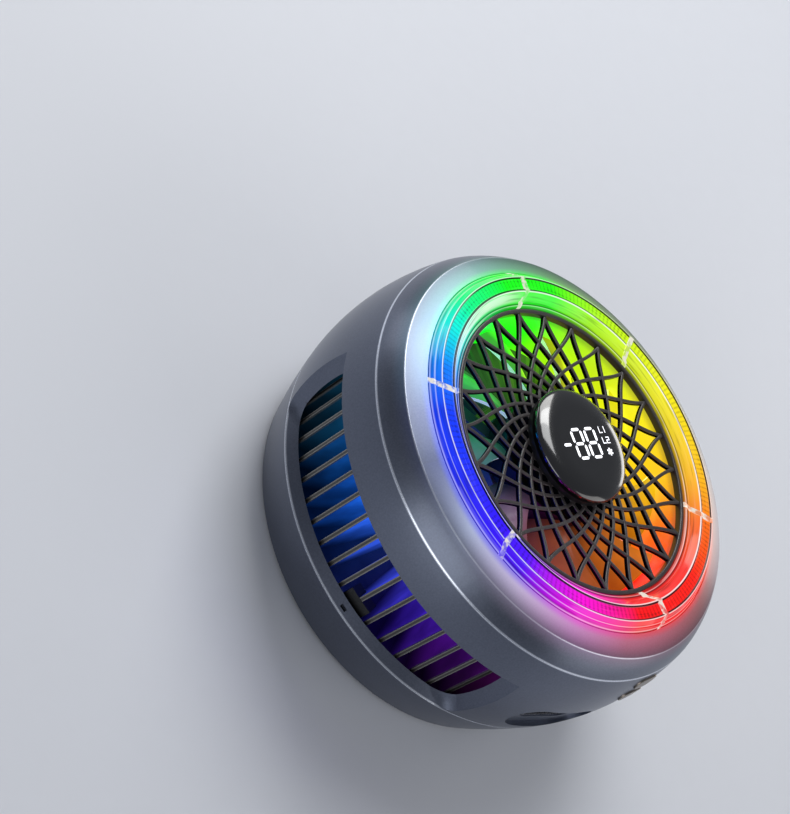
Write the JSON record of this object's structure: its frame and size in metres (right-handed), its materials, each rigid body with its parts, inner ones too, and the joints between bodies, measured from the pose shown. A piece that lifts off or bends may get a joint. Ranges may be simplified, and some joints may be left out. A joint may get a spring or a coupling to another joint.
{
  "type": "phone cooling fan",
  "caption": "Round magnetic phone cooler: satin metallic drum with side vents, lattice grille over a fan, lit clear ring round it and a black number display in the middle.",
  "frame": {"origin": "centre of the rear contact face that rests on the phone", "axes": "+Z out of the front along the fan's axis, +Y towards the top of the number display, +X to the display's right side"},
  "size_m": [0.064, 0.0644, 0.0336],
  "materials": {
    "pad_silicone": "matt",
    "grip_rubber": "matt",
    "black_plastic": "fine grain",
    "screw_steel": "turned",
    "magnet_nickel": "plated",
    "yoke_steel": "rolled",
    "plate_aluminium": "machined",
    "white_ceramic": "matt",
    "pellet_alloy": "sawn",
    "gasket_foam": "open cell",
    "sink_aluminium": "satin",
    "housing_gunmetal": "satin metallic",
    "circuit_board": "solder mask",
    "chip_black": "moulded",
    "socket_steel": "stamped",
    "button_gunmetal": "satin metallic",
    "frame_plastic": "translucent",
    "bearing_brass": "sintered",
    "stator_steel": "laminated",
    "winding_copper": "enamelled",
    "shaft_steel": "ground",
    "rotor_ferrite": "sintered",
    "rotor_smoke": "smoked translucent",
    "light_white": "lit",
    "guide_white": "frosted",
    "lens_clear": "clear",
    "grille_grey": "satin",
    "display_light": "lit",
    "dome_black": "polished"
  },
  "bodies": {
    "cooler": {"contact_pad": "pad_silicone", "grip_ring": "grip_rubber", "rear_cover": "black_plastic", "rear_screws": "screw_steel", "magnets": "magnet_nickel", "magnet_yoke": "yoke_steel", "cold_plate": "plate_aluminium", "cold_ceramic": "white_ceramic", "thermo_pellets": "pellet_alloy", "hot_ceramic": "white_ceramic", "foam_gasket": "gasket_foam", "heat_sink": "sink_aluminium", "sink_screws": "screw_steel", "vent_block": "black_plastic", "housing": "housing_gunmetal", "control_board": "circuit_board", "board_standoffs": "black_plastic", "board_screws": "screw_steel", "control_chip": "chip_black", "socket_shell": "socket_steel", "socket_tongue": "chip_black", "switch_board": "circuit_board", "switches": "chip_black", "fan_frame": "frame_plastic", "frame_screws": "screw_steel", "motor_board": "circuit_board", "bearing": "bearing_brass", "stator_core": "stator_steel", "stator_windings": "winding_copper", "light_board": "circuit_board", "lights": "light_white", "light_guide": "guide_white", "lens_segment_1": "lens_clear", "lens_segment_2": "lens_clear", "lens_segment_3": "lens_clear", "lens_segment_4": "lens_clear", "lens_segment_5": "lens_clear", "lens_segment_6": "lens_clear", "lens_dividers": "lens_clear", "grille": "grille_grey", "display_cup": "black_plastic", "display_board": "circuit_board", "display_numbers": "display_light", "display_marks": "display_light", "dome": "dome_black"},
    "rotor": {"fan_rotor": "rotor_smoke", "rotor_yoke": "yoke_steel", "rotor_magnet": "rotor_ferrite", "shaft": "shaft_steel"},
    "button_lower": {"button_lower": "button_gunmetal"},
    "button_upper": {"button_upper": "button_gunmetal"}
  },
  "joints": [
    {"name": "fan_spin", "type": "hinge", "parent": "cooler", "child": "rotor", "pos_m": [0, 0, 0.026], "axis": [0, 0, 1], "continuous": true},
    {"name": "button_lower_press", "type": "slide", "parent": "cooler", "child": "button_lower", "axis": [-0.1219, 0.9925, 0], "range_m": [0, 0.0003], "stiffness_N_per_m": 3000, "springref_m": -0.0003},
    {"name": "button_upper_press", "type": "slide", "parent": "cooler", "child": "button_upper", "axis": [-0.1219, 0.9925, 0], "range_m": [0, 0.0003], "stiffness_N_per_m": 3000, "springref_m": -0.0003}
  ]
}
